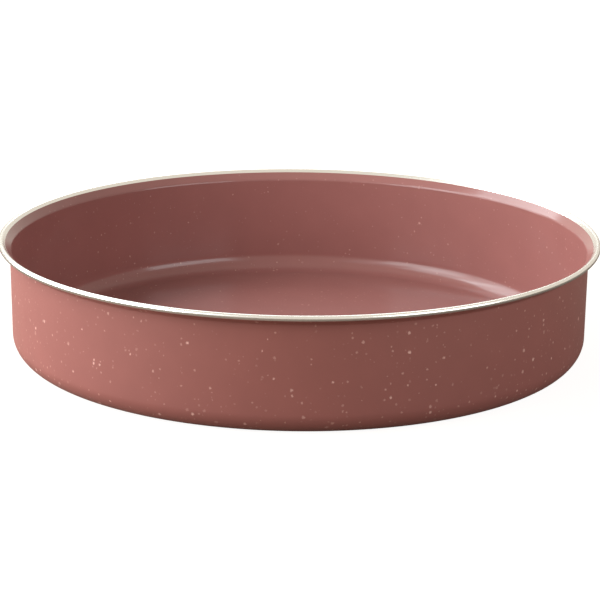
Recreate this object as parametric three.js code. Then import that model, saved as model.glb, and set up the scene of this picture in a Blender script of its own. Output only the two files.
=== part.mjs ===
// A round baking tray: one pressed aluminium shell with a flared lip, a steel wire that its edge is rolled
// over, and a fired non-stick coating inside and outside.
// Millimetres, +Z up. The origin is the middle of the base, on the surface that the tray stands on.
import * as THREE from "three";

// Driving dimensions of the tray
const LIP_DIAMETER = 300; // across the outside of the rolled edge
const HEIGHT = 58; // from the table to the top of the rolled edge
const LIP_OVERHANG = 5.7; // how far the rolled edge stands out past the top of the coated wall
const FLARE_HEIGHT = 6; // how far below the top the wall starts to bend outwards
const BEND_RADIUS = 2; // between wall and flare, on the cooking side of the sheet
const WALL_DRAFT = 0.5; // degrees that the wall leans outwards
const CORNER_RADIUS = 10.5; // outside of the coated corner between base and wall

// Sheet, coating and wire
const SHEET_THICKNESS = 0.8;
const COATING_THICKNESS = 0.08;
const WIRE_DIAMETER = 1.0;
const WIRE_CLEARANCE = 0.05; // between the wire and the sheet rolled over it

// Ends of the rolled sheet and of the coatings
const CURL_END = -150; // degrees round the wire, from straight outwards, where the rolled edge stops
const COATED_FLARE = 4; // how far past the bend both coatings still cover the flare

// Facets
const TURN_SEGMENTS = 60; // round the tray
const CORNER_SEGMENTS = 5;
const BEND_SEGMENTS = 3;
const CURL_SEGMENTS = 12;
const WIRE_SEGMENTS = 8;

// Colours and finish
const COATING_INSIDE_LOOK = { color: 0x985f57, roughness: 0.38, metalness: 0 };
const COATING_OUTSIDE_LOOK = { color: 0x8e564d, roughness: 0.35, metalness: 0 };
const ALUMINIUM_LOOK = { color: 0xdcd9d4, roughness: 0.22, metalness: 1 };
const STEEL_LOOK = { color: 0xb4b4b2, roughness: 0.35, metalness: 1 };

// The section of the tray, in (radius, height) about the axis
const draft = THREE.MathUtils.degToRad(WALL_DRAFT);
const wallOut = new THREE.Vector2(Math.cos(draft), -Math.sin(draft)); // square to the wall, away from the axis

const flareStart = new THREE.Vector2(LIP_DIAMETER / 2 - LIP_OVERHANG, HEIGHT - FLARE_HEIGHT);
const cornerTop = CORNER_RADIUS * (1 - Math.sin(draft));
const cornerCentre = new THREE.Vector2(
  flareStart.x - (flareStart.y - cornerTop) * Math.tan(draft) - CORNER_RADIUS * Math.cos(draft),
  CORNER_RADIUS,
);

// Each surface of the wall lies at its own depth below the coated outside
const DEPTHS = {
  outside: 0,
  sheetOutside: COATING_THICKNESS,
  sheetInside: COATING_THICKNESS + SHEET_THICKNESS,
  inside: 2 * COATING_THICKNESS + SHEET_THICKNESS,
};

// The rolled edge is an arc round the wire. The flare runs straight into it from the bend at the top of the wall,
// along the line that touches both arcs.
const cavityRadius = WIRE_DIAMETER / 2 + WIRE_CLEARANCE;
const curlRadius = cavityRadius + SHEET_THICKNESS;
const curlCentre = new THREE.Vector2(LIP_DIAMETER / 2 - curlRadius, HEIGHT - curlRadius);
const bendCentre = flareStart.clone().addScaledVector(wallOut, BEND_RADIUS - DEPTHS.sheetInside);
const towardsCurl = curlCentre.clone().sub(bendCentre);
const bendFirst = Math.PI - draft;
const bendLast = towardsCurl.angle() + Math.acos((BEND_RADIUS - curlRadius) / towardsCurl.length());
const flareOut = new THREE.Vector2(Math.sin(bendLast), -Math.cos(bendLast)); // along the flare, away from the bend
const curlLast = THREE.MathUtils.degToRad(CURL_END);

// Points of an arc from one angle to another, both ends included
function arc(centre, radius, from, to, segments) {
  const points = [];
  for (let i = 0; i <= segments; i += 1) {
    const angle = from + ((to - from) * i) / segments;
    points.push(
      new THREE.Vector2(centre.x + radius * Math.cos(angle), centre.y + radius * Math.sin(angle)),
    );
  }
  return points;
}

// The flat base at one depth, from the axis to the corner
function base(depth) {
  return [new THREE.Vector2(0, depth), new THREE.Vector2(cornerCentre.x, depth)];
}

// Corner and wall at one depth, from the base to the start of the flare
function side(depth) {
  const corner = arc(cornerCentre, CORNER_RADIUS - depth, -Math.PI / 2, -draft, CORNER_SEGMENTS);
  return [...corner, flareStart.clone().addScaledVector(wallOut, -depth)];
}

function bowl(depth) {
  return [...base(depth).slice(0, 1), ...side(depth)];
}

// The bend at one depth past its first point, and the stretch of the flare that is still coated
function coatedFlare(depth) {
  const radius = BEND_RADIUS - DEPTHS.sheetInside + depth;
  const bend = arc(bendCentre, radius, bendFirst, bendLast, BEND_SEGMENTS).slice(1);
  return [...bend, bend.at(-1).clone().addScaledVector(flareOut, COATED_FLARE)];
}

// The rolled edge at one radius round the wire, from the end of the straight flare
function curl(radius) {
  return arc(curlCentre, radius, bendLast, curlLast, CURL_SEGMENTS);
}

function sheetSide(depth, radius) {
  return [...bowl(depth), ...coatedFlare(depth), ...curl(radius)];
}

// Each sub-part as a closed section: up one side and back down the other. A coating's section runs along the
// sheet the way the shell's does, so that both have the same facets where they touch.
function shellSection() {
  const under = sheetSide(DEPTHS.sheetOutside, cavityRadius);
  const over = sheetSide(DEPTHS.sheetInside, curlRadius);
  return [...under, ...over.reverse()];
}

function innerCoatingSection() {
  const face = [...bowl(DEPTHS.inside), ...coatedFlare(DEPTHS.inside)];
  const back = [...bowl(DEPTHS.sheetInside), ...coatedFlare(DEPTHS.sheetInside)];
  return [...face, ...back.reverse()];
}

function outerCoatingSection() {
  const back = [...side(DEPTHS.sheetOutside), ...coatedFlare(DEPTHS.sheetOutside)];
  const face = [...side(DEPTHS.outside), ...coatedFlare(DEPTHS.outside)];
  return [...back, ...face.reverse(), back[0]];
}

function baseCoatingSection() {
  return [...base(DEPTHS.sheetOutside), ...base(DEPTHS.outside).reverse()];
}

function wireSection() {
  return arc(curlCentre, WIRE_DIAMETER / 2, 0, 2 * Math.PI, WIRE_SEGMENTS);
}

// A section turned about the tray's axis, which is Z
function turned(section) {
  return new THREE.LatheGeometry(section, TURN_SEGMENTS).rotateX(Math.PI / 2);
}

// Every triangle turned round, so that its other face points outwards
function flipped(geometry) {
  const corners = geometry.index;
  for (let i = 0; i < corners.count; i += 3) {
    const first = corners.getX(i);
    corners.setX(i, corners.getX(i + 1));
    corners.setX(i + 1, first);
  }
  geometry.computeVertexNormals();
  return geometry;
}

function piece(name, geometry, look) {
  const mesh = new THREE.Mesh(geometry, new THREE.MeshStandardMaterial(look));
  mesh.name = name;
  return mesh;
}

const tray = new THREE.Group();
tray.add(piece("pan_shell", turned(shellSection()), ALUMINIUM_LOOK));
tray.add(piece("rim_wire", turned(wireSection()), STEEL_LOOK));
tray.add(piece("inner_coating", flipped(turned(innerCoatingSection())), COATING_INSIDE_LOOK));
tray.add(piece("outer_coating", flipped(turned(outerCoatingSection())), COATING_OUTSIDE_LOOK));
tray.add(piece("base_coating", flipped(turned(baseCoatingSection())), COATING_OUTSIDE_LOOK));

export default tray;
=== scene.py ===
"""The looks of a round baking tray: a pressed aluminium shell, the wire in its rolled rim and its coatings.

Laid out as an add-on. Each operator makes one piece, or one group of like pieces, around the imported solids.
"""

import math
from typing import NamedTuple

import bpy
from bpy.props import FloatProperty, FloatVectorProperty, IntProperty, PointerProperty
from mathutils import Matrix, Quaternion, Vector


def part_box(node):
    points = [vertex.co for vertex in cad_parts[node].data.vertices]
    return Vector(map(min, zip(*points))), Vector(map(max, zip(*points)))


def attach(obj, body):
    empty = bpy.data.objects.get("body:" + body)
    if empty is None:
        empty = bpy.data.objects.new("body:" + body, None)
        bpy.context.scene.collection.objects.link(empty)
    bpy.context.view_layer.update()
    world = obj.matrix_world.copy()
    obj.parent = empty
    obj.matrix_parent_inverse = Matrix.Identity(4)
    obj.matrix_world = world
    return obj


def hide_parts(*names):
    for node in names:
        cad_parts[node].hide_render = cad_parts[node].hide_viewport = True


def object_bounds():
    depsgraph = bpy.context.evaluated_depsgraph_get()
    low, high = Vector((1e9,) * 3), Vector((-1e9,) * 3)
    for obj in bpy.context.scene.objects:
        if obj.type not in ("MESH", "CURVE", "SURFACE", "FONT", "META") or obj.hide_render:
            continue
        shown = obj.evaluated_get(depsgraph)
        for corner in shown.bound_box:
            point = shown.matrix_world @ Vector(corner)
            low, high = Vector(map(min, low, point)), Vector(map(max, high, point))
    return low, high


bl_info = {
    "name": "Round baking tray",
    "version": (1, 0, 0),
    "blender": (4, 5, 0),
    "location": "View3D > Sidebar > Baking tray",
    "description": "Makes a round coated baking tray with a bare rolled rim",
    "category": "Object",
}

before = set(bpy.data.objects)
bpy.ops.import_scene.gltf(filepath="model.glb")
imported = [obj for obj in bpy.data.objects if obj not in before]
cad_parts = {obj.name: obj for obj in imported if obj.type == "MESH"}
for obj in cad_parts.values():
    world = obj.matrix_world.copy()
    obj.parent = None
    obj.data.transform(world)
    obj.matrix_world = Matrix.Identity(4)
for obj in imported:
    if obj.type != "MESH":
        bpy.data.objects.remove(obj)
CAD_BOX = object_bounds()

# Metres in a millimetre
MM = 0.001

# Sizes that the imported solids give
SHELL_LOW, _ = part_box("pan_shell")
WIRE_LOW, WIRE_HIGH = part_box("rim_wire")
INSIDE_LOW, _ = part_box("inner_coating")
BASE_LOW, BASE_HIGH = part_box("base_coating")
COATING = BASE_HIGH.z - BASE_LOW.z
SHEET = INSIDE_LOW.z - SHELL_LOW.z
WIRE = WIRE_HIGH.z - WIRE_LOW.z


def linear(hex_colour):
    """Turn an sRGB hex colour into the linear red, green and blue that shaders take."""
    shares = [int(hex_colour[i : i + 2], 16) / 255 for i in (1, 3, 5)]
    return tuple(s / 12.92 if s <= 0.04045 else ((s + 0.055) / 1.055) ** 2.4 for s in shares)


def colour_property(name, description, hex_colour):
    """A colour that the user can change."""
    return FloatVectorProperty(
        name=name,
        description=description,
        subtype="COLOR",
        size=3,
        min=0,
        max=1,
        default=linear(hex_colour),
    )


def length_property(name, description, metres):
    """A length that the user can change."""
    return FloatProperty(
        name=name,
        description=description,
        subtype="DISTANCE",
        unit="LENGTH",
        precision=5,
        min=0,
        default=metres,
    )


def angle_property(name, description, degrees):
    """An angle that the user can change."""
    return FloatProperty(
        name=name,
        description=description,
        subtype="ANGLE",
        default=math.radians(degrees),
    )


class TraySizes(bpy.types.PropertyGroup):
    """Sizes of the tray's section."""

    sheet: length_property("Sheet", "Thickness of the pressed aluminium", SHEET)
    coating: length_property("Coating", "Thickness of the fired coating", COATING)
    wire: length_property("Wire", "Diameter of the wire in the rolled rim", WIRE)
    wire_clearance: length_property("Wire clearance", "Gap between the wire and the sheet", 0.05 * MM)
    rim_radius: length_property("Rim radius", "From the axis to the wire's middle", WIRE_HIGH.x - WIRE / 2)
    rim_height: length_property("Rim height", "From the table to the wire's middle", WIRE_HIGH.z - WIRE / 2)
    overhang: length_property("Overhang", "How far the rolled edge stands out past the wall", 5.7 * MM)
    flare_height: length_property("Flare height", "From the top down to where the wall bends", 6.0 * MM)
    bend: length_property("Bend", "Radius between wall and flare, on the sheet's inside", 2.0 * MM)
    coated_flare: length_property("Coated flare", "How far past the bend the coatings reach", 4.0 * MM)
    base_radius: length_property("Base radius", "The flat of the base, up to the corner", BASE_HIGH.x)
    corner: length_property("Corner", "Outside radius between base and wall", 10.5 * MM)
    curl_end: angle_property("Curl end", "Where the rolled edge stops, from straight outwards", -150)
    segments: IntProperty(name="Segments", description="Facets round the tray", min=24, default=288)


class TrayColours(bpy.types.PropertyGroup):
    """Colours of the tray's finishes."""

    inside: colour_property("Inside coating", "Rose coating of the cooking side", "#9B635D")
    outside: colour_property("Outside coating", "Rose coating of the outer wall and the base", "#9F5F57")
    fleck: colour_property("Flecks", "The palest specks in the coatings", "#F9C4B6")
    aluminium: colour_property("Aluminium", "Bare metal of the rolled edge", "#E2E0DC")
    steel: colour_property("Steel", "Wire in the rolled edge", "#B4B4B2")


class TrayStage(bpy.types.PropertyGroup):
    """Camera, floor and light."""

    camera_distance: length_property("Camera distance", "From the lens to the aim point", 1.1)
    camera_elevation: angle_property("Camera elevation", "Angle of the view above the table", 15.55)
    aim_height: length_property("Aim height", "Point on the axis that the camera looks at", 30 * MM)
    floor: colour_property("Floor", "The paper's own colour, under its white glow", "#8C7B6D")
    dome: colour_property("Dome", "Soft warm light from all round", "#FFF6E8")
    lamps: colour_property("Lamps", "Cooler light of the soft boxes", "#F0FBFF")


# Geometry Nodes

TURNING_TREE = "turned_about_axis"

# Points of a turned surface that lie closer than this are one
WELD_DISTANCE = 0.002 * MM

# Edges where the section turns by more than this stay sharp
CREASE = math.radians(40)


def add(tree, kind, links=None, **settings):
    """Add a node with its settings, and link or set each named input."""
    node = tree.nodes.new(kind)
    for name, value in settings.items():
        setattr(node, name, value)
    for socket, value in (links or {}).items():
        if isinstance(value, bpy.types.NodeSocket):
            tree.links.new(value, node.inputs[socket])
        else:
            node.inputs[socket].default_value = value
    return node


def turning_tree():
    """Turn a section, a line of points at (radius, 0, height), about the Z axis into a closed surface."""
    tree = bpy.data.node_groups.new(TURNING_TREE, "GeometryNodeTree")
    inputs = {
        "Section": "NodeSocketGeometry",
        "Segments": "NodeSocketInt",
        "Crease": "NodeSocketFloat",
        "Finish": "NodeSocketMaterial",
    }
    for name, kind in inputs.items():
        tree.interface.new_socket(name=name, in_out="INPUT", socket_type=kind)
    tree.interface.new_socket(name="Turned", in_out="OUTPUT", socket_type="NodeSocketGeometry")
    given = add(tree, "NodeGroupInput").outputs

    # One row of grid points for each turn, as long as the section
    size = add(tree, "GeometryNodeAttributeDomainSize", {"Geometry": given["Section"]}, component="MESH")
    count = size.outputs["Point Count"]
    rows = add(tree, "FunctionNodeIntegerMath", {0: given["Segments"], 1: 1}, operation="ADD")
    grid = add(tree, "GeometryNodeMeshGrid", {"Vertices X": rows.outputs[0], "Vertices Y": count})

    # Each grid point takes its place on the section, turned by the row's angle
    index = add(tree, "GeometryNodeInputIndex").outputs[0]
    along = add(tree, "FunctionNodeIntegerMath", {0: index, 1: count}, operation="MODULO")
    row = add(tree, "FunctionNodeIntegerMath", {0: index, 1: count}, operation="DIVIDE_FLOOR")
    turns = add(tree, "ShaderNodeMath", {0: row.outputs[0], 1: given["Segments"]}, operation="DIVIDE")
    angle = add(tree, "ShaderNodeMath", {0: turns.outputs[0], 1: math.tau}, operation="MULTIPLY")
    position = add(tree, "GeometryNodeInputPosition")
    point = add(
        tree,
        "GeometryNodeSampleIndex",
        {"Geometry": given["Section"], "Value": position.outputs[0], "Index": along.outputs[0]},
        data_type="FLOAT_VECTOR",
        domain="POINT",
    )
    turned = add(
        tree,
        "ShaderNodeVectorRotate",
        {"Vector": point.outputs[0], "Angle": angle.outputs[0]},
        rotation_type="Z_AXIS",
    )
    placed = add(
        tree,
        "GeometryNodeSetPosition",
        {"Geometry": grid.outputs["Mesh"], "Position": turned.outputs[0]},
    )
    closed = add(
        tree,
        "GeometryNodeMergeByDistance",
        {"Geometry": placed.outputs[0], "Distance": WELD_DISTANCE},
    )

    # Smooth all over, apart from the edges where the section turns sharply
    smooth = add(tree, "GeometryNodeSetShadeSmooth", {"Geometry": closed.outputs[0], "Shade Smooth": True})
    bend = add(tree, "GeometryNodeInputMeshEdgeAngle")
    soft = add(
        tree,
        "FunctionNodeCompare",
        {0: bend.outputs["Unsigned Angle"], 1: given["Crease"]},
        operation="LESS_THAN",
    )
    creased = add(
        tree,
        "GeometryNodeSetShadeSmooth",
        {"Geometry": smooth.outputs[0], "Shade Smooth": soft.outputs[0]},
        domain="EDGE",
    )
    whole = add(tree, "GeometryNodeRealizeInstances", {"Geometry": creased.outputs[0]})
    finished = add(
        tree,
        "GeometryNodeSetMaterial",
        {"Geometry": whole.outputs[0], "Material": given["Finish"]},
    )
    add(tree, "NodeGroupOutput", {"Turned": finished.outputs[0]})
    return tree


def turned_piece(name, node, section, material):
    """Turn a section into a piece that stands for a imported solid."""
    mesh = bpy.data.meshes.new(name)
    links = [(i, i + 1) for i in range(len(section) - 1)]
    mesh.from_pydata([(point.x, 0, point.y) for point in section], links, [])
    piece = bpy.data.objects.new(name, mesh)
    bpy.context.scene.collection.objects.link(piece)

    tree = bpy.data.node_groups.get(TURNING_TREE) or turning_tree()
    turning = piece.modifiers.new("turned", "NODES")
    turning.node_group = tree
    values = {
        "Segments": bpy.context.scene.tray_sizes.segments,
        "Crease": CREASE,
        "Finish": material,
    }
    for socket in tree.interface.items_tree:
        if socket.name in values:
            turning[socket.identifier] = values[socket.name]

    # The evaluated mesh has an empty material slot ahead of the finish
    evaluated = piece.evaluated_get(bpy.context.evaluated_depsgraph_get())
    piece.data = bpy.data.meshes.new_from_object(evaluated)
    piece.data.materials.pop(index=0)
    piece.modifiers.remove(turning)
    piece.data.name = name

    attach(piece, "root")
    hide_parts(node)


# The section of the tray, in (radius, height) about the axis


def arc(centre, radius, first, last, steps):
    """Points of an arc from one angle to another, both ends included."""
    angles = [first + (last - first) * i / steps for i in range(steps + 1)]
    return [centre + radius * Vector((math.cos(a), math.sin(a))) for a in angles]


class TraySection:
    """Lines of the tray's section, each at its depth below the coated outside."""

    FLOOR_STEPS = 24
    CORNER_STEPS = 20
    WALL_STEPS = 12
    BEND_STEPS = 12
    FLARE_STEPS = 4
    CURL_STEPS = 48
    WIRE_STEPS = 24

    def __init__(self, sizes):
        self.sizes = sizes
        self.sheet_outside = sizes.coating
        self.sheet_inside = sizes.coating + sizes.sheet
        self.inside = 2 * sizes.coating + sizes.sheet

        # The edge is rolled round the wire
        self.cavity = sizes.wire / 2 + sizes.wire_clearance
        self.curl = self.cavity + sizes.sheet
        self.curl_centre = Vector((sizes.rim_radius, sizes.rim_height))

        # The wall leans from the corner out to the start of the flare
        reach = self.curl - sizes.overhang
        self.wall_top = self.curl_centre + Vector((reach, self.curl - sizes.flare_height))
        self.corner_centre = Vector((sizes.base_radius, sizes.corner))
        rise = self.wall_top - self.corner_centre
        self.draft = math.atan2(rise.x - sizes.corner, rise.y)
        self.wall_out = Vector((math.cos(self.draft), -math.sin(self.draft)))

        # The flare runs straight from the bend to the rolled edge, along the line that touches both arcs
        self.bend_centre = self.wall_top + (sizes.bend - self.sheet_inside) * self.wall_out
        towards_curl = self.curl_centre - self.bend_centre
        self.bend_first = math.pi - self.draft
        across = math.acos((sizes.bend - self.curl) / towards_curl.length)
        self.bend_last = math.atan2(towards_curl.y, towards_curl.x) + across
        self.flare_out = Vector((math.sin(self.bend_last), -math.cos(self.bend_last)))

    def base(self, depth):
        """The flat base, from the axis to the corner."""
        radii = [self.sizes.base_radius * i / self.FLOOR_STEPS for i in range(self.FLOOR_STEPS + 1)]
        return [Vector((radius, depth)) for radius in radii]

    def side(self, depth):
        """Corner and wall, from the base to the start of the flare."""
        radius = self.sizes.corner - depth
        corner = arc(self.corner_centre, radius, -math.pi / 2, -self.draft, self.CORNER_STEPS)
        top = self.wall_top - depth * self.wall_out
        wall = [corner[-1].lerp(top, i / self.WALL_STEPS) for i in range(1, self.WALL_STEPS + 1)]
        return corner + wall

    def bowl(self, depth):
        """Base, corner and wall in one line."""
        return self.base(depth)[:-1] + self.side(depth)

    def flared(self, depth):
        """The bend past its first point, and the stretch of the flare that is still coated."""
        radius = self.sizes.bend - self.sheet_inside + depth
        bend = arc(self.bend_centre, radius, self.bend_first, self.bend_last, self.BEND_STEPS)[1:]
        reach = self.sizes.coated_flare * self.flare_out
        return bend + [bend[-1] + reach * i / self.FLARE_STEPS for i in range(1, self.FLARE_STEPS + 1)]

    def sheet_line(self, depth, radius):
        """One side of the whole sheet, from the axis to the end of the rolled edge."""
        rolled = arc(self.curl_centre, radius, self.bend_last, self.sizes.curl_end, self.CURL_STEPS)
        return self.bowl(depth) + self.flared(depth) + rolled

    def shell(self):
        """The pressed sheet."""
        under = self.sheet_line(self.sheet_outside, self.cavity)
        over = self.sheet_line(self.sheet_inside, self.curl)
        return under + over[::-1]

    def inner_coating(self):
        """The coating of the cooking side, from the floor to the flare."""
        lines = [self.bowl(depth) + self.flared(depth) for depth in (self.sheet_inside, self.inside)]
        return lines[0] + lines[1][::-1]

    def outer_coating(self):
        """The coating of the corner, the wall and most of the flare's underside."""
        lines = [self.side(depth) + self.flared(depth) for depth in (0, self.sheet_outside)]
        return lines[0] + lines[1][::-1] + lines[0][:1]

    def base_coating(self):
        """The coating under the base."""
        return self.base(0) + self.base(self.sheet_outside)[::-1]

    def rim_wire(self):
        """The wire in the rolled edge."""
        return arc(self.curl_centre, self.sizes.wire / 2, 0, math.tau, self.WIRE_STEPS)


# Finishes


class FleckKind(NamedTuple):
    """Flecks of about one size in a coating."""

    spacing: float  # of the cells that may hold one, in millimetres
    share: float  # of the cells that hold one
    radius: float  # of the largest, in millimetres
    strength: float  # of the palest, where 1 hides the colour under it


class CoatingFinish(NamedTuple):
    """How a coating looks, apart from its colours."""

    fine: FleckKind
    coarse: FleckKind
    sheen: float  # specular level of the coloured film
    satin: float  # mean roughness of the coloured film
    glaze: float  # weight of the smoother film over it


INSIDE_FINISH = CoatingFinish(
    fine=FleckKind(spacing=1.8, share=0.2, radius=0.7, strength=0.35),
    coarse=FleckKind(spacing=2.4, share=0.06, radius=0.8, strength=0.7),
    sheen=0.08,
    satin=0.42,
    glaze=0.8,
)
OUTSIDE_FINISH = CoatingFinish(
    fine=FleckKind(spacing=2.0, share=0.26, radius=0.8, strength=0.4),
    coarse=FleckKind(spacing=2.6, share=0.18, radius=1.15, strength=0.85),
    sheen=0.5,
    satin=0.48,
    glaze=0.1,
)

# Films of a coating
COATING_IOR = 1.45  # of both films
GLAZE_ROUGHNESS = 0.15

# What spraying leaves
CLOUD_SIZE = 14  # millimetres
GRAIN_SIZE = 0.9  # millimetres
COLOUR_SPREAD = 0.06  # share by which the colour varies either way
ROUGHNESS_SPREAD = 0.06  # how far the roughness varies either way
PEEL_STRENGTH = 0.5
PEEL_DEPTH = 0.02 * MM

# Clusters of flecks
CLUSTER_SIZE = 40  # millimetres
CLUSTER_SEED = 2.0  # which of the possible patterns is drawn
CLUSTER_START = 0.36  # level of the noise where a cluster starts
CLUSTER_FULL = 0.62  # level of the noise where it is full
CLUSTER_THINNING = 0.08  # taken off the share of cells with a fleck, outside the clusters

# One fleck
DENT_SIZE = 0.8  # of the dents in its outline, in millimetres
DENT_DEPTH = 0.9  # as a share of the largest radius
SMALLEST_FLECK = 0.45  # as a share of the largest radius
SOFT_EDGE = 0.4  # as a share of the largest radius
FAINTEST_FLECK = 0.2  # as a share of the palest one's strength
PALE_RARITY = 2.0  # how rare the pale ones are, where 1 is even

# The middle of a noise's colour, from which dents go either way
NOISE_MIDDLE = (0.5, 0.5, 0.5)


def new_material(name):
    """A material with an empty tree, its surface shader and its object coordinates."""
    material = bpy.data.materials.new(name)
    material.use_nodes = True
    tree = material.node_tree
    tree.nodes.clear()
    shader = add(tree, "ShaderNodeBsdfPrincipled")
    add(tree, "ShaderNodeOutputMaterial", {"Surface": shader.outputs["BSDF"]})
    place = add(tree, "ShaderNodeTexCoord").outputs["Object"]
    return material, tree, shader, place


def per_metre(millimetres):
    """The scale of a pattern whose features lie this far apart."""
    return 1 / (millimetres * MM)


def sprayed_colour(tree, place, colour):
    """A coating's colour, which lies a little uneven in soft clouds."""
    cloud = add(tree, "ShaderNodeTexNoise", {"Vector": place, "Scale": per_metre(CLOUD_SIZE), "Detail": 3.0})
    darker = tuple((1 - COLOUR_SPREAD) * c for c in colour)
    lighter = tuple((1 + COLOUR_SPREAD) * c for c in colour)
    uneven = add(
        tree,
        "ShaderNodeMix",
        {"Factor": cloud.outputs["Fac"], "A": (*darker, 1), "B": (*lighter, 1)},
        data_type="RGBA",
    )
    return uneven.outputs["Result"]


def fleck_cover(tree, place, dents, thinning, kind):
    """How much of the colour one kind of fleck hides at each point, from 0 to 1."""
    moved = add(
        tree,
        "ShaderNodeVectorMath",
        {0: dents, 1: (DENT_DEPTH * kind.radius * MM,) * 3, 2: place},
        operation="MULTIPLY_ADD",
    )
    cells = add(tree, "ShaderNodeTexVoronoi", {"Vector": moved.outputs[0], "Scale": per_metre(kind.spacing)})
    chance = add(tree, "ShaderNodeSeparateColor", {"Color": cells.outputs["Color"]}).outputs

    # Few cells hold a fleck, and fewer still between the clusters
    kept = add(tree, "ShaderNodeMath", {0: chance["Red"], 1: thinning}, operation="SUBTRACT").outputs[0]
    held = add(tree, "ShaderNodeMath", {0: kept, 1: 1 - kind.share}, operation="GREATER_THAN")

    # Each fleck has its own size, with a soft edge, and its own strength
    largest = kind.radius / kind.spacing
    size = add(
        tree,
        "ShaderNodeMapRange",
        {"Value": kept, "From Min": 1 - kind.share, "To Min": SMALLEST_FLECK * largest, "To Max": largest},
    )
    inside = add(
        tree,
        "ShaderNodeMath",
        {0: size.outputs["Result"], 1: cells.outputs["Distance"]},
        operation="SUBTRACT",
    )
    edge = add(tree, "ShaderNodeMapRange", {"Value": inside.outputs[0], "From Max": SOFT_EDGE * largest})
    paler = add(tree, "ShaderNodeMath", {0: chance["Green"], 1: PALE_RARITY}, operation="POWER")
    level = add(
        tree,
        "ShaderNodeMapRange",
        {"Value": paler.outputs[0], "To Min": FAINTEST_FLECK * kind.strength, "To Max": kind.strength},
    )
    cover = held.outputs[0]
    for factor in (edge, level):
        both = add(tree, "ShaderNodeMath", {0: cover, 1: factor.outputs["Result"]}, operation="MULTIPLY")
        cover = both.outputs[0]
    return cover


def flecked(tree, place, shown, fleck_colour, kinds):
    """A colour with flecks on it, which have ragged outlines and gather in clusters."""
    ragged = add(tree, "ShaderNodeTexNoise", {"Vector": place, "Scale": per_metre(DENT_SIZE), "Detail": 1.0})
    dents = add(
        tree,
        "ShaderNodeVectorMath",
        {0: ragged.outputs["Color"], 1: NOISE_MIDDLE},
        operation="SUBTRACT",
    )
    cluster = add(
        tree,
        "ShaderNodeTexNoise",
        {"Vector": place, "W": CLUSTER_SEED, "Scale": per_metre(CLUSTER_SIZE), "Detail": 1.0},
        noise_dimensions="4D",
    )
    thinning = add(
        tree,
        "ShaderNodeMapRange",
        {
            "Value": cluster.outputs["Fac"],
            "From Min": CLUSTER_START,
            "From Max": CLUSTER_FULL,
            "To Min": CLUSTER_THINNING,
            "To Max": 0.0,
        },
    )
    for kind in kinds:
        cover = fleck_cover(tree, place, dents.outputs[0], thinning.outputs["Result"], kind)
        mixed = add(
            tree,
            "ShaderNodeMix",
            {"Factor": cover, "A": shown, "B": (*fleck_colour, 1)},
            data_type="RGBA",
        )
        shown = mixed.outputs["Result"]
    return shown


def speckled_nonstick(name, colour, fleck_colour, finish):
    """Fired fluoropolymer with mineral flecks, sprayed on: a satin sheen, a faint orange peel, and pale warm
    specks of uneven size that gather in loose clusters."""
    material, tree, shader, place = new_material(name)
    shader.inputs["IOR"].default_value = COATING_IOR
    shader.inputs["Specular IOR Level"].default_value = finish.sheen
    shader.inputs["Coat Weight"].default_value = finish.glaze
    shader.inputs["Coat IOR"].default_value = COATING_IOR
    shader.inputs["Coat Roughness"].default_value = GLAZE_ROUGHNESS

    sprayed = sprayed_colour(tree, place, colour)
    shown = flecked(tree, place, sprayed, fleck_colour, (finish.fine, finish.coarse))
    tree.links.new(shown, shader.inputs["Base Color"])

    # Satin, with a faint orange peel
    grain = add(tree, "ShaderNodeTexNoise", {"Vector": place, "Scale": per_metre(GRAIN_SIZE), "Detail": 2.0})
    gloss = add(
        tree,
        "ShaderNodeMapRange",
        {
            "Value": grain.outputs["Fac"],
            "To Min": finish.satin - ROUGHNESS_SPREAD,
            "To Max": finish.satin + ROUGHNESS_SPREAD,
        },
    )
    tree.links.new(gloss.outputs["Result"], shader.inputs["Roughness"])
    peel = add(
        tree,
        "ShaderNodeBump",
        {"Height": grain.outputs["Fac"], "Strength": PEEL_STRENGTH, "Distance": PEEL_DEPTH},
    )
    tree.links.new(peel.outputs["Normal"], shader.inputs["Normal"])
    return material


def ringed_metal(name, colour, spacing, detail, smoothest, roughest):
    """Bare metal whose gloss varies in rings round the axis, spaced in millimetres."""
    material, tree, shader, place = new_material(name)
    shader.inputs["Base Color"].default_value = (*colour, 1)
    shader.inputs["Metallic"].default_value = 1.0

    # A pattern on the radius and the height of a point alone runs in rings
    split = add(tree, "ShaderNodeSeparateXYZ", {"Vector": place})
    flat = add(tree, "ShaderNodeCombineXYZ", {"X": split.outputs["X"], "Y": split.outputs["Y"]})
    radius = add(tree, "ShaderNodeVectorMath", {0: flat.outputs[0]}, operation="LENGTH")
    ring = add(tree, "ShaderNodeCombineXYZ", {"X": radius.outputs["Value"], "Z": split.outputs["Z"]})
    lines = add(
        tree,
        "ShaderNodeTexNoise",
        {"Vector": ring.outputs[0], "Scale": per_metre(spacing), "Detail": detail},
    )
    gloss = add(
        tree,
        "ShaderNodeMapRange",
        {"Value": lines.outputs["Fac"], "To Min": smoothest, "To Max": roughest},
    )
    tree.links.new(gloss.outputs["Result"], shader.inputs["Roughness"])
    return material


def spun_aluminium(colour):
    """Bare aluminium, polished by spinning: bright, with a gloss that varies in fine rings round the rim.
    Real rings are too fine to show, so they are drawn 0.4 mm apart."""
    return ringed_metal(
        "spun_bare_aluminium", colour, spacing=0.4, detail=2.0, smoothest=0.2, roughest=0.28
    )


def drawn_steel(colour):
    """Plain drawn steel wire: grey, half dull, with faint marks along it."""
    return ringed_metal("drawn_steel_wire", colour, spacing=0.3, detail=1.0, smoothest=0.3, roughest=0.45)


# Pieces


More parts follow.
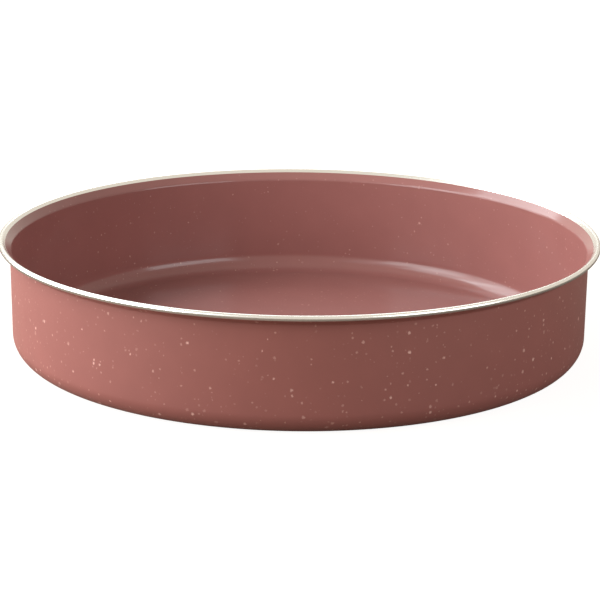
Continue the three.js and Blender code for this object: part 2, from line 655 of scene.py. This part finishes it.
class TRAY_OT_shell(bpy.types.Operator):
    """Make the pressed aluminium shell with its flare and rolled edge"""

    bl_idname = "baking_tray.shell"
    bl_label = "Pressed shell"

    def execute(self, context):
        metal = spun_aluminium(context.scene.tray_colours.aluminium)
        section = TraySection(context.scene.tray_sizes).shell()
        turned_piece("pressed_shell", "pan_shell", section, metal)
        return {"FINISHED"}


class TRAY_OT_wire(bpy.types.Operator):
    """Make the wire that the edge is rolled over"""

    bl_idname = "baking_tray.wire"
    bl_label = "Rim wire"

    def execute(self, context):
        steel = drawn_steel(context.scene.tray_colours.steel)
        section = TraySection(context.scene.tray_sizes).rim_wire()
        turned_piece("rolled_in_wire", "rim_wire", section, steel)
        return {"FINISHED"}


class TRAY_OT_inside(bpy.types.Operator):
    """Make the coating of the cooking side"""

    bl_idname = "baking_tray.inside"
    bl_label = "Inside coating"

    def execute(self, context):
        colours = context.scene.tray_colours
        coat = speckled_nonstick("speckled_nonstick_inside", colours.inside, colours.fleck, INSIDE_FINISH)
        section = TraySection(context.scene.tray_sizes).inner_coating()
        turned_piece("inside_coating", "inner_coating", section, coat)
        return {"FINISHED"}


class TRAY_OT_outside(bpy.types.Operator):
    """Make the coatings of the outside: the wall's and the base's"""

    bl_idname = "baking_tray.outside"
    bl_label = "Outside coatings"

    def execute(self, context):
        colours = context.scene.tray_colours
        coat = speckled_nonstick("speckled_nonstick_outside", colours.outside, colours.fleck, OUTSIDE_FINISH)
        section = TraySection(context.scene.tray_sizes)
        turned_piece("outside_coating", "outer_coating", section.outer_coating(), coat)
        turned_piece("underside_coating", "base_coating", section.base_coating(), coat)
        return {"FINISHED"}


# Stage

# The room, where 1 is white
ROOM_SEEN = 0.95  # to the eye and in reflections
ROOM_LIGHT = 0.14  # how much it lights the tray

# The paper's own glow, where 1 is white. It is dimmer in reflections than to the eye, so that the underside of
# the rolled edge is darker than its top
PAPER_SEEN = 0.93
PAPER_REFLECTED = 0.05

# The paper's place
PAPER_REACH = 6.0  # metres from the axis to each side
PAPER_DROP = 0.02 * MM  # under the base


class SoftBox(NamedTuple):
    """A rectangular lamp that faces the middle of the base."""

    name: str
    azimuth: float  # degrees, where 0 is the right, 90 the back and 180 the left
    elevation: float  # degrees
    brightness: float  # where 1 is white
    distance: float = 1.3  # metres
    width: float = 0.9  # metres
    height: float = 0.6  # metres


SOFT_BOXES = (
    SoftBox("left_soft_box", azimuth=185, elevation=40, brightness=4.7),
    SoftBox("left_back_soft_box", azimuth=145, elevation=38, brightness=6.1),
    SoftBox("low_left_soft_box", azimuth=165, elevation=12, brightness=4.3),
    SoftBox("left_front_soft_box", azimuth=222, elevation=35, brightness=1.1),
    SoftBox("low_left_front_soft_box", azimuth=208, elevation=22, brightness=5.2),
    SoftBox("low_right_front_soft_box", azimuth=322, elevation=22, brightness=3.9),
    SoftBox("left_strip", azimuth=205, elevation=10, brightness=3.0, distance=1.2, width=1.0, height=0.25),
    SoftBox("back_soft_box", azimuth=95, elevation=38, brightness=2.6),
)


def ray_kinds(tree):
    """Two factors: 1 for the rays that the camera sees straight, and 1 for those in a reflection or glass."""
    path = add(tree, "ShaderNodeLightPath").outputs
    mirrored = add(
        tree,
        "ShaderNodeMath",
        {0: path["Is Glossy Ray"], 1: path["Is Transmission Ray"]},
        operation="MAXIMUM",
    )
    return path["Is Camera Ray"], mirrored.outputs[0]


def studio_floor(colour):
    """Matt paper that is white to the eye, with the tray's soft shadow left on it."""
    material, tree, shader, _ = new_material("matt_white_paper")
    shader.inputs["Base Color"].default_value = (*colour, 1)
    shader.inputs["Roughness"].default_value = 0.9
    shader.inputs["Specular IOR Level"].default_value = 0.0
    shader.inputs["Emission Color"].default_value = (1, 1, 1, 1)
    straight, mirrored = ray_kinds(tree)
    dim = add(tree, "ShaderNodeMath", {0: mirrored, 1: PAPER_REFLECTED}, operation="MULTIPLY")
    glow = add(
        tree,
        "ShaderNodeMath",
        {0: straight, 1: PAPER_SEEN, 2: dim.outputs[0]},
        operation="MULTIPLY_ADD",
    )
    tree.links.new(glow.outputs[0], shader.inputs["Emission Strength"])
    return material


def white_room(colour):
    """A white room: white to the eye and in reflections, with only a little light of its own."""
    world = bpy.data.worlds.new("white_room")
    world.use_nodes = True
    tree = world.node_tree
    tree.nodes.clear()
    straight, mirrored = ray_kinds(tree)
    seen = add(tree, "ShaderNodeMath", {0: straight, 1: mirrored}, operation="MAXIMUM")
    level = add(
        tree,
        "ShaderNodeMapRange",
        {"Value": seen.outputs[0], "To Min": ROOM_LIGHT, "To Max": ROOM_SEEN},
    )
    room = add(tree, "ShaderNodeBackground", {"Color": (*colour, 1), "Strength": level.outputs["Result"]})
    add(tree, "ShaderNodeOutputWorld", {"Surface": room.outputs[0]})
    return world


class TRAY_OT_stage(bpy.types.Operator):
    """Make the floor, the light and the camera"""

    bl_idname = "baking_tray.stage"
    bl_label = "Stage"

    LENS = 130.6  # millimetres
    ROLL = 0.010  # radians
    SHIFT = (0.0018, -0.0228)  # shares of the picture's width

    def execute(self, context):
        scene = context.scene
        stage = scene.tray_stage
        scene.view_settings.view_transform = "Standard"
        scene.world = white_room(stage.dome)
        self.lay_floor(scene, stage)
        for box in SOFT_BOXES:
            self.hang_soft_box(scene, stage.lamps, box)
        self.set_camera(scene, stage)
        return {"FINISHED"}

    def lay_floor(self, scene, stage):
        """A large sheet of paper, just under the base."""
        height = CAD_BOX[0][2] - PAPER_DROP
        signs = ((-1, -1), (1, -1), (1, 1), (-1, 1))
        corners = [(x * PAPER_REACH, y * PAPER_REACH, height) for x, y in signs]
        mesh = bpy.data.meshes.new("paper_floor")
        mesh.from_pydata(corners, [], [(0, 1, 2, 3)])
        floor = bpy.data.objects.new("paper_floor", mesh)
        mesh.materials.append(studio_floor(stage.floor))
        scene.collection.objects.link(floor)

    def hang_soft_box(self, scene, colour, box):
        """One lamp, at its place and turned towards the tray."""
        lamp = bpy.data.lights.new(box.name, "AREA")
        lamp.color = colour
        lamp.shape = "RECTANGLE"
        lamp.size = box.width
        lamp.size_y = box.height
        lamp.energy = box.brightness * math.pi * box.width * box.height
        turn = math.radians(box.azimuth)
        rise = math.radians(box.elevation)
        towards = Vector((math.cos(turn) * math.cos(rise), math.sin(turn) * math.cos(rise), math.sin(rise)))
        hung = bpy.data.objects.new(box.name, lamp)
        hung.location = box.distance * towards
        hung.rotation_euler = (-towards).to_track_quat("-Z", "Y").to_euler()
        scene.collection.objects.link(hung)

    def set_camera(self, scene, stage):
        """The photograph's view: from the front and a little above, through a long lens."""
        lens = bpy.data.cameras.new("front_camera")
        lens.lens = self.LENS
        lens.shift_x, lens.shift_y = self.SHIFT
        camera = bpy.data.objects.new("front_camera", lens)
        back = Vector((0, -math.cos(stage.camera_elevation), math.sin(stage.camera_elevation)))
        camera.location = Vector((0, 0, stage.aim_height)) + stage.camera_distance * back
        level = (-back).to_track_quat("-Z", "Y")
        camera.rotation_euler = (level @ Quaternion((0, 0, 1), self.ROLL)).to_euler()
        scene.collection.objects.link(camera)
        scene.camera = camera


class TRAY_PT_panel(bpy.types.Panel):
    """Lists the tray's sizes, colours and pieces"""

    bl_idname = "TRAY_PT_panel"
    bl_label = "Round baking tray"
    bl_space_type = "VIEW_3D"
    bl_region_type = "UI"
    bl_category = "Baking tray"

    def draw(self, context):
        scene = context.scene
        for group in (scene.tray_sizes, scene.tray_colours, scene.tray_stage):
            for name in group.__annotations__:
                self.layout.prop(group, name)
        for operator in OPERATORS:
            self.layout.operator(operator.bl_idname)


OPERATORS = (TRAY_OT_shell, TRAY_OT_wire, TRAY_OT_inside, TRAY_OT_outside, TRAY_OT_stage)
GROUPS = {"tray_sizes": TraySizes, "tray_colours": TrayColours, "tray_stage": TrayStage}
CLASSES = (*GROUPS.values(), *OPERATORS, TRAY_PT_panel)


def register():
    for cls in CLASSES:
        bpy.utils.register_class(cls)
    for name, group in GROUPS.items():
        setattr(bpy.types.Scene, name, PointerProperty(type=group))


def unregister():
    for name in GROUPS:
        delattr(bpy.types.Scene, name)
    for cls in reversed(CLASSES):
        bpy.utils.unregister_class(cls)


def main():
    register()
    bpy.ops.baking_tray.shell()
    bpy.ops.baking_tray.wire()
    bpy.ops.baking_tray.inside()
    bpy.ops.baking_tray.outside()
    bpy.ops.baking_tray.stage()


if __name__ == "__main__":
    main()
